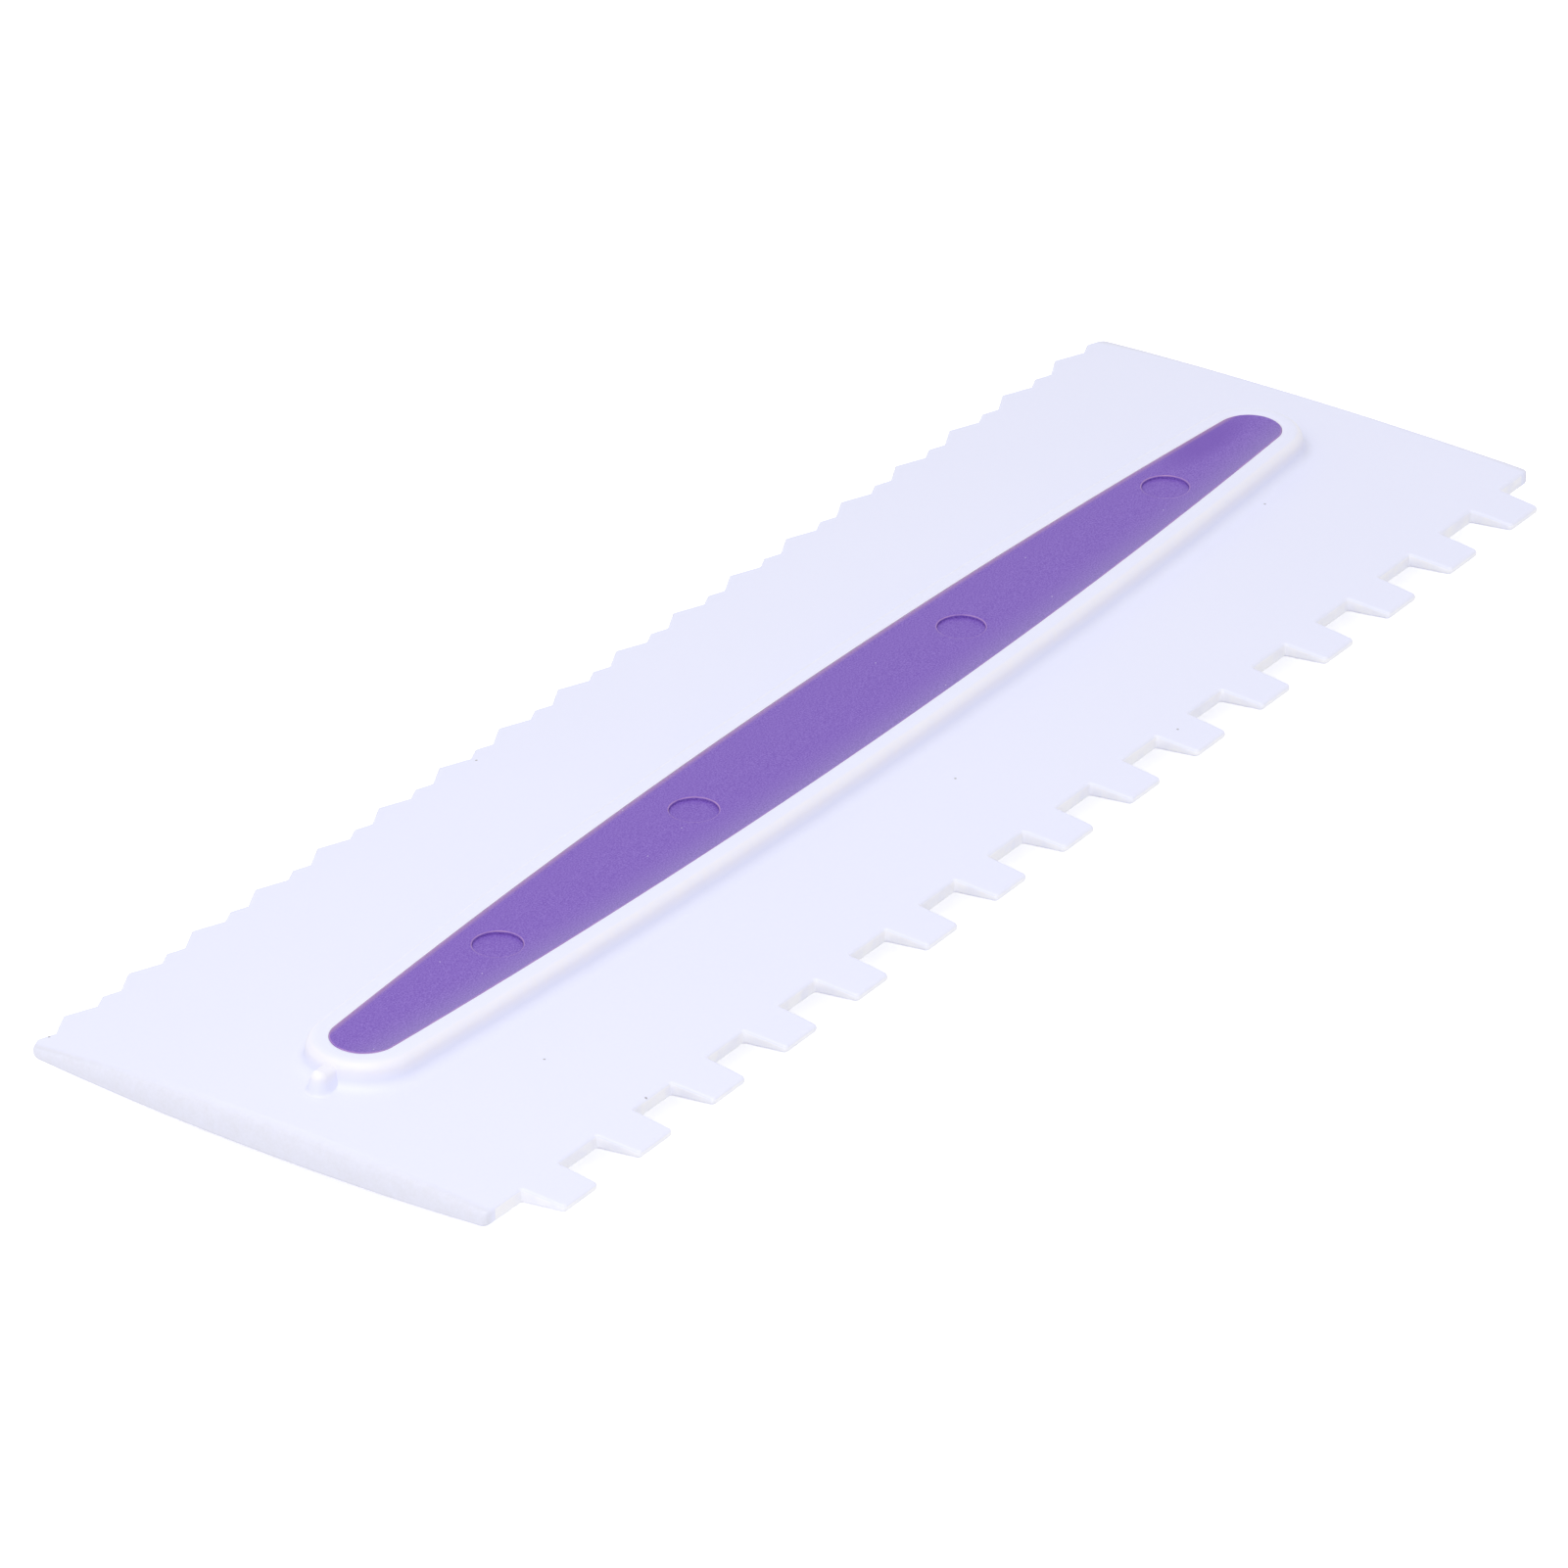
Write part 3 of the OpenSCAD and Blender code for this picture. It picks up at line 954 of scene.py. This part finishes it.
# %% Fill the face of the blade and the floor of the pocket
def close_faces(bm, part):
    """Fill the blade's face and the pocket's floor, with four holes for the pins."""
    foot = [
        e for e in open_loops(bm)
        if e.link_faces[0][part] == RIM and e.verts[0].co.z > WEB_HALF + EDGE_ROUND
    ]
    for vert in {v for e in foot for v in e.verts}:
        vert.co.z = EDGE_HALF_T
    outer = [
        e for e in open_loops(bm)
        if e.link_faces[0][part] == PLATE and e.verts[0].co.z > EDGE_HALF_T / 2
    ]
    face = fill_between(bm, foot + outer, part, PLATE)
    pocket = [e for e in open_loops(bm) if abs(e.verts[0].co.z - WEB_HALF) < TINY]
    holes = [e for ring in pin_circles(bm, PIN_R + PIN_GAP, WEB_HALF) for e in ring]
    floor = fill_between(bm, pocket + holes, part, RIM)
    walls = bmesh.ops.extrude_edge_only(bm, edges=holes)["geom"]
    for vert in (g for g in walls if isinstance(g, bmesh.types.BMVert)):
        vert.co.z = 0
    return face, floor


part = add_rim(blade_mesh, rim_mesh)
rim_mesh.free()
face, floor = close_faces(blade_mesh, part)
print("face:", len(face), "triangles; floor of the pocket:", len(floor), "triangles")

# %% [markdown]
# ## Bending the slab into a lens
# The face is cut into strips across the width, and near the short ends it is cut again for
# the large rounding there. Then every vertex of the upper half is lifted by the height of
# the lens at its own place, so the rounded edge keeps its radius and only the plain side
# wall grows taller. The foot of the rim lands on the lens, and the wall above it is stretched
# by the same small amount.

# %% Cut the face into strips
STRIP = 2.45 * MM
CLEAR_OF_FOOT = 0.5 * MM
FIRST_STRIP = INLAY_HALF_W + FILLET_X + FOOT_FLAT + CLEAR_OF_FOOT
MIDDLE_CUTS = (-8 * MM, -4 * MM, 0.0, 4 * MM, 8 * MM)
END_CUTS = 9


def strip_places():
    """Where the cuts across the width lie: outside the handle every strip is alike."""
    count = int((HALF_W - FIRST_STRIP) / STRIP) + 1
    outside = [FIRST_STRIP + i * STRIP for i in range(count)]
    return sorted([*[-y for y in outside], *MIDDLE_CUTS, *outside])


def end_places():
    """Where the cuts near the short ends lie, closer together towards the end."""
    angles = [math.radians(90 * i / END_CUTS) for i in range(1, END_CUTS + 1)]
    inner = [END_ROUND_TOP * (1 - math.cos(a)) for a in angles]
    return [side * (HALF_LEN - d) for d in inner for side in (-1, 1) if d > EDGE_ROUND]


cut_planes(blade_mesh, lambda f: f[part] == PLATE, "Y", strip_places())
cut_planes(blade_mesh, lambda f: f[part] == PLATE, "X", end_places())
print("face in strips:", len(blade_mesh.faces), "faces")


# %% Tidy the strips
def merge_strips(bm):
    """Dissolve the edges that the fill drew inside a strip, which leaves long clean faces."""
    def inside_strip(edge):
        if len(edge.link_faces) != 2 or any(f[part] != PLATE for f in edge.link_faces):
            return False
        if any(abs(v.co.z - EDGE_HALF_T) > TINY for f in edge.link_faces for v in f.verts):
            return False
        run = edge.verts[0].co - edge.verts[1].co
        along_cut = min(abs(run.x), abs(run.y)) < TINY
        middle = (edge.verts[0].co + edge.verts[1].co) / 2
        places = strip_places() if abs(run.y) < abs(run.x) else end_places()
        at = middle.y if abs(run.y) < abs(run.x) else middle.x
        return not (along_cut and any(abs(at - p) < TINY for p in places))

    loose = [e for e in bm.edges if inside_strip(e)]
    bmesh.ops.dissolve_edges(bm, edges=loose, use_verts=True)


merge_strips(blade_mesh)
print("after tidying:", len(blade_mesh.faces), "faces")


# %% Lift to the lens
def lift_to_lens(bm):
    """Raise the slab's upper rim and face to the lens, and seat the handle on it."""
    slab = {v for f in bm.faces if f[part] == PLATE for v in f.verts if v.co.z > TINY}
    for vert in {v for f in bm.faces if f[part] == RIM for v in f.verts} - slab:
        y, z = vert.co.yz
        below_top = (HANDLE_H - z) / (HANDLE_H - FOOT_Z)
        if z > FOOT_Z - TINY:
            vert.co.z = HANDLE_H - below_top * (HANDLE_H - face_z(y))
    for vert in slab:
        vert.co.z += face_z(vert.co.y) - EDGE_HALF_T


lift_to_lens(blade_mesh)
face_top = max(v.co.z for f in blade_mesh.faces if f[part] == PLATE for v in f.verts)
print("top of the blade's face:", round(face_top / MM, 3), "mm")

# %% [markdown]
# ## The lower half and the short ends
# A mirror across the blade's mid-plane gives the lower half and welds the two. The short ends
# aren't alike above and below: the mould leaves a wide rounding on the upper side and a crisp
# lower edge. Each is a quarter circle in side view, so every vertex near an end drops by
# what the circle says at its distance from the end. The radius shrinks with the blade's own
# thickness, so that some flat wall is left all the way to the corners.


# %% Mirror and round the ends
def round_ends(bm):
    """Round the short ends, wide above and tight below."""
    def drop(distance, radius):
        if distance >= radius:
            return 0.0
        return radius - math.sqrt(radius ** 2 - (radius - distance) ** 2)

    for vert in [v for v in bm.verts if HALF_LEN - abs(v.co.x) < END_ROUND_TOP]:
        x, y, z = vert.co
        thickness = (face_z(y) - EDGE_ROUND) / (MID_HALF_T - EDGE_ROUND)
        distance = max(HALF_LEN - abs(x), 0.0)
        top = drop(distance, END_ROUND_TOP * thickness)
        bottom = drop(distance, END_ROUND_BOTTOM * thickness)
        if z > TINY:
            vert.co.z = z - top
        elif z < -TINY:
            vert.co.z = z + bottom
        else:
            vert.co.z = (bottom - top) / 2


def mirror_half(bm):
    """Add the mirror image below the mid-plane and turn every face outwards."""
    bmesh.ops.mirror(
        bm, geom=bm.verts[:] + bm.edges[:] + bm.faces[:], matrix=Matrix.Identity(4),
        merge_dist=WELD, axis="Z",
    )
    bmesh.ops.remove_doubles(bm, verts=bm.verts, dist=WELD)
    bmesh.ops.recalc_face_normals(bm, faces=bm.faces)


mirror_half(blade_mesh)
round_ends(blade_mesh)
describe("blade", blade_mesh)


# %% [markdown]
# ## From a mesh to a finished piece
# A finished piece needs smooth shading with true edges kept sharp, its material, and three
# facts for the model's table: the body it rides on, the CAD node that it stands for and the
# material slot that it takes its finish from. Smooth shading averages the directions of
# neighbouring faces, which puts false shades on large flats beside small roundings. The
# Weighted Normal modifier lets the large faces win, so flats look flat.


# %% Mark the roundings
# A bend over the first counts, and its mark grows from the soft curve to the tight one
MILD_BEND = math.radians(3)
SOFT_CURVE = math.radians(20) / MM
TIGHT_CURVE = math.radians(300) / MM
# A tooth's walls are those whose normals rise less than the first, and they are paled as painted
# light
STEEP = 0.5
WALL_LIGHT = 1.2
SIDE_SHARE = 0.8


def mark_roundings(bm):
    """Store each face's paling by how tightly it is rounded, partly wear and partly painted
    highlight, and painted light on the teeth's walls.
    """
    mark = bm.faces.layers.float.new(ROUNDING)
    bm.normal_update()
    for face in bm.faces:
        middle = face.calc_center_median()
        if abs(middle.x) > HALF_LEN - END_ROUND_TOP:
            continue
        on_tooth = abs(middle.y) > HALF_W - TOOTH_DEPTH - EDGE_ROUND
        if on_tooth and abs(face.normal.z) < STEEP:
            face[mark] = WALL_LIGHT * max(abs(face.normal.y), SIDE_SHARE)
            continue
        bends = [e.calc_face_angle_signed(0) for e in face.edges]
        convex = sorted(b for b in bends if b > MILD_BEND)
        if len(convex) < 2:
            continue
        width = 2 * face.calc_area() / face.calc_perimeter()
        curve = convex[-2] / max(width, WELD)
        share = abs(face.normal.y) if on_tooth else 1.0
        face[mark] = share * min(max((curve - SOFT_CURVE) / (TIGHT_CURVE - SOFT_CURVE), 0.0), 1.0)


print("roundings tighter than", round(math.degrees(SOFT_CURVE) * MM), "degrees per mm are marked")


# %% Finish a piece
SHARP_ANGLE = math.radians(38)
EVEN_WEIGHT = 60


def finish_piece(bm, name, material, node):
    """Turn a bmesh into the piece that replaces a CAD node."""
    mark_roundings(bm)
    mesh = bpy.data.meshes.new(name)
    bm.to_mesh(mesh)
    bm.free()
    mesh.materials.append(material)
    mesh.shade_smooth()
    mesh.set_sharp_from_angle(angle=SHARP_ANGLE)
    piece = place_object(name, mesh)
    even = piece.modifiers.new("even_shading", "WEIGHTED_NORMAL")
    even.weight = EVEN_WEIGHT
    even.keep_sharp = True
    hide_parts(node)
    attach(piece, "root")
    return piece


print("edges stay sharp over", round(math.degrees(SHARP_ANGLE)), "degrees")


# %% [markdown]
# ## The gate nub
# Molten plastic enters a mould through a small gate, and on this handle it left a half-round
# nub at one end. The nub flares at its foot, narrows upwards and has a domed top. Half of it
# is a spin of a short profile about the nub's axis, and the rest runs straight back into the
# handle's wall. A union then makes it one skin with the blade.

# %% Nub
NUB_R = 1.5 * MM
NUB_REACH = 3.2 * MM
NUB_DROP = 0.7 * MM
NUB_TAPER = 0.4 * MM
NUB_BEVEL = 1.0 * MM
NUB_FLARE = 0.5 * MM
NUB_SINK = 0.3 * MM
NUB_SEAT = 0.02 * MM
FLARE_STEPS = 4
DOME_STEPS = 5
NUB_STEPS = 20
NUB_X = -(INLAY_HALF_LEN + WALL_FOOT[0] + NUB_REACH - NUB_R)


def make_nub():
    """The nub's profile in the XZ plane, from below the blade's face to the top's middle."""
    bm = bmesh.new()
    y_axis = (0, 1, 0)
    top = HANDLE_H - NUB_DROP
    base = face_z(0.0)
    seat = base - NUB_SEAT
    wide = NUB_R + NUB_FLARE
    vert = bm.verts.new((0, 0, base - NUB_SINK))
    vert = grow(bm, vert, (wide, 0, base - NUB_SINK))
    vert = grow(bm, vert, (wide, 0, seat))
    vert = swing(bm, vert, (wide, 0, seat + NUB_FLARE), 90, FLARE_STEPS, y_axis)
    shoulder = NUB_R - NUB_TAPER
    vert = grow(bm, vert, (shoulder, 0, top - NUB_BEVEL))
    dome = (shoulder - NUB_BEVEL, 0, top - NUB_BEVEL)
    vert = swing(bm, vert, dome, -90, DOME_STEPS, y_axis)
    grow(bm, vert, (0, 0, top))
    return bm


nub_mesh = make_nub()
print("nub at x =", round(NUB_X / MM, 2), "mm, a profile of", len(nub_mesh.verts), "vertices")


# %% Spin the nub
def close_nub(bm):
    """Spin the profile half way round, then run both ends of it straight back."""
    quarter = Matrix.Rotation(math.pi / 2, 3, "Z")
    bmesh.ops.rotate(bm, verts=bm.verts, cent=(0, 0, 0), matrix=quarter)
    bmesh.ops.spin(
        bm, geom=bm.verts[:] + bm.edges[:], cent=(0, 0, 0), axis=(0, 0, 1),
        angle=math.pi, steps=NUB_STEPS,
    )
    bmesh.ops.remove_doubles(bm, verts=bm.verts, dist=WELD)
    run = bmesh.ops.extrude_edge_only(bm, edges=open_loops(bm))["geom"]
    moved = [g for g in run if isinstance(g, bmesh.types.BMVert)]
    bmesh.ops.translate(bm, verts=moved, vec=(NUB_REACH, 0, 0))
    bmesh.ops.remove_doubles(bm, verts=bm.verts, dist=WELD)
    bmesh.ops.contextual_create(bm, geom=open_loops(bm))
    bmesh.ops.translate(bm, verts=bm.verts, vec=(NUB_X, 0, 0))
    bmesh.ops.recalc_face_normals(bm, faces=bm.faces)


close_nub(nub_mesh)
describe("nub", nub_mesh)


# %% Join the nub to the blade
def union_with(bm, other):
    """The boolean union of two closed meshes, as a new bmesh."""
    objects = []
    for name, source in (("joined", bm), ("added", other)):
        mesh = bpy.data.meshes.new(name)
        source.to_mesh(mesh)
        source.free()
        objects.append(place_object(name, mesh))
    joined, added = objects
    join = joined.modifiers.new("union", "BOOLEAN")
    join.operation = "UNION"
    join.solver = "EXACT"
    join.object = added
    result = bmesh.new()
    result.from_object(joined, bpy.context.evaluated_depsgraph_get())
    for thing in objects:
        mesh = thing.data
        bpy.data.objects.remove(thing)
        bpy.data.meshes.remove(mesh)
    return result


blade_mesh = union_with(blade_mesh, nub_mesh)
describe("blade with nub", blade_mesh)

# %% The finished blade
blade = finish_piece(blade_mesh, "white_blade", white_plastic, "comb_blade")
print(blade.name, "has", len(blade.data.polygons), "faces")

# %% [markdown]
# ## The purple inlays
# Each handle's pocket holds a purple inlay with a gently crowned face and softly rounded
# edges. The lower inlay carries four pins that reach up through the web between the two
# pockets, and the upper inlay is bored for them: from above, each pin's end lies as a disc
# in a shallow round recess. Both inlays start from the same flat spindle outline.

# %% Sizes of the inlays
INLAY_CROWN = 0.14 * MM
INLAY_EDGE_ROUND = 0.18 * MM
HOLE_ROUND = 0.12 * MM
PIN_ROUND = 0.03 * MM
EDGE_STEPS = 4
HOLE_STEPS = 3
PIN_ROUND_STEPS = 2
CROWN_R = (INLAY_HALF_W ** 2 + INLAY_CROWN ** 2) / (2 * INLAY_CROWN)
SHOULDER_Z = CROWN_Z - INLAY_CROWN
CROWN_STRIP = 1.1 * MM


def draw_spindle(bm, z):
    """The inlay's outline as four arcs, each spun about its own centre."""
    end_angle = 90 - JOIN_ANGLE
    lean = math.radians(end_angle)
    first = bm.verts.new((END_X + END_R * math.cos(lean), END_R * math.sin(lean), z))
    vert = swing(bm, first, (0, -SIDE_CENTRE_Y, z), 2 * JOIN_ANGLE, SIDE_STEPS)
    vert = swing(bm, vert, (-END_X, 0, z), 2 * end_angle, END_STEPS)
    vert = swing(bm, vert, (0, SIDE_CENTRE_Y, z), 2 * JOIN_ANGLE, SIDE_STEPS)
    swing(bm, vert, (END_X, 0, z), 2 * end_angle, END_STEPS)
    bmesh.ops.remove_doubles(bm, verts=bm.verts, dist=WELD)


print("crown radius", round(CROWN_R / MM), "mm")


# %% Shared steps of both inlays
def raise_faces(bm, faces, z):
    """Extrude faces to the height z and return what was raised."""
    made = bmesh.ops.extrude_face_region(bm, geom=faces)["geom"]
    for vert in (g for g in made if isinstance(g, bmesh.types.BMVert)):
        vert.co.z = z
    return [g for g in made if isinstance(g, bmesh.types.BMFace)]


def near_pin(point):
    """True on a pin or on the edge of its hole."""
    return any(math.hypot(point.x - x, point.y) < PIN_R + 2 * PIN_GAP + HOLE_ROUND for x in PIN_X)


def border(faces):
    """Edges between these faces and the rest of the mesh."""
    chosen = set(faces)
    return [e for f in faces for e in f.edges if any(g not in chosen for g in e.link_faces)]


def round_border(bm, edges, radius, steps):
    """Round a run of edges."""
    bmesh.ops.bevel(
        bm, geom=edges, affect="EDGES", offset=radius, segments=steps, profile=0.5, material=-1
    )


def crown_face(bm):
    """Cut the upper face into strips and lift it to the crown's arc."""
    count = int(INLAY_HALF_W / CROWN_STRIP)
    places = [i * CROWN_STRIP for i in range(-count, count + 1)]
    low = SHOULDER_Z - INLAY_EDGE_ROUND
    cut_planes(bm, lambda f: f.calc_center_median().z > low, "Y", places)
    for vert in bm.verts:
        if vert.co.z > SHOULDER_Z - 2 * INLAY_EDGE_ROUND:
            vert.co.z += INLAY_CROWN - CROWN_R + math.sqrt(CROWN_R ** 2 - vert.co.y ** 2)


print("the inlays' long edges are rounded by", round(INLAY_EDGE_ROUND / MM, 2), "mm")


# %% Upper inlay
def make_upper_inlay():
    """The bored inlay on the upper face."""
    bm = bmesh.new()
    draw_spindle(bm, WEB_HALF)
    pin_circles(bm, PIN_R + PIN_GAP, WEB_HALF)
    made = bmesh.ops.triangle_fill(bm, use_beauty=True, edges=bm.edges[:])["geom"]
    top = raise_faces(bm, [g for g in made if isinstance(g, bmesh.types.BMFace)], SHOULDER_Z)
    rim = border(top)
    holes = [e for e in rim if near_pin(e.verts[0].co)]
    round_border(bm, holes, HOLE_ROUND, HOLE_STEPS)
    outer = [e for e in rim if e.is_valid and e not in holes]
    round_border(bm, outer, INLAY_EDGE_ROUND, EDGE_STEPS)
    crown_face(bm)
    bmesh.ops.recalc_face_normals(bm, faces=bm.faces)
    return bm


upper_mesh = make_upper_inlay()
describe("upper inlay", upper_mesh)
upper = finish_piece(upper_mesh, "upper_inlay", purple_plastic, "upper_grip")
print(upper.name, "has", len(upper.data.polygons), "faces")


# %% Lower inlay with its pins
def make_lower_inlay():
    """The inlay on the lower face, drawn the right way up and turned over at the end."""
    bm = bmesh.new()
    draw_spindle(bm, WEB_HALF)
    rings = pin_circles(bm, PIN_R, WEB_HALF)
    bmesh.ops.triangle_fill(bm, use_beauty=True, edges=bm.edges[:])
    for ring in rings:
        bmesh.ops.contextual_create(bm, geom=ring)
    discs = [f for f in bm.faces if len(f.verts) == PIN_STEPS]
    top = raise_faces(bm, bm.faces[:], SHOULDER_Z)
    rim = border(top)
    bmesh.ops.dissolve_faces(bm, faces=top)
    round_border(bm, rim, INLAY_EDGE_ROUND, EDGE_STEPS)
    crown_face(bm)
    for disc in discs:
        end = raise_faces(bm, [disc], -PIN_TOP_Z)
        round_border(bm, border(end), PIN_ROUND, PIN_ROUND_STEPS)
    bmesh.ops.scale(bm, verts=bm.verts, vec=(1, 1, -1))
    bmesh.ops.recalc_face_normals(bm, faces=bm.faces)
    return bm


lower_mesh = make_lower_inlay()
describe("lower inlay", lower_mesh)
lower = finish_piece(lower_mesh, "lower_inlay", purple_plastic, "lower_grip")
print(lower.name, "has", len(lower.data.polygons), "faces")

# %% [markdown]
# ## The CAD box
# The visual model has to fill the same box as the CAD model, so the CAD box is printed.

# %% Print the CAD box
print("CAD box", [tuple(round(c / MM, 2) for c in corner) for corner in cad_bounds])
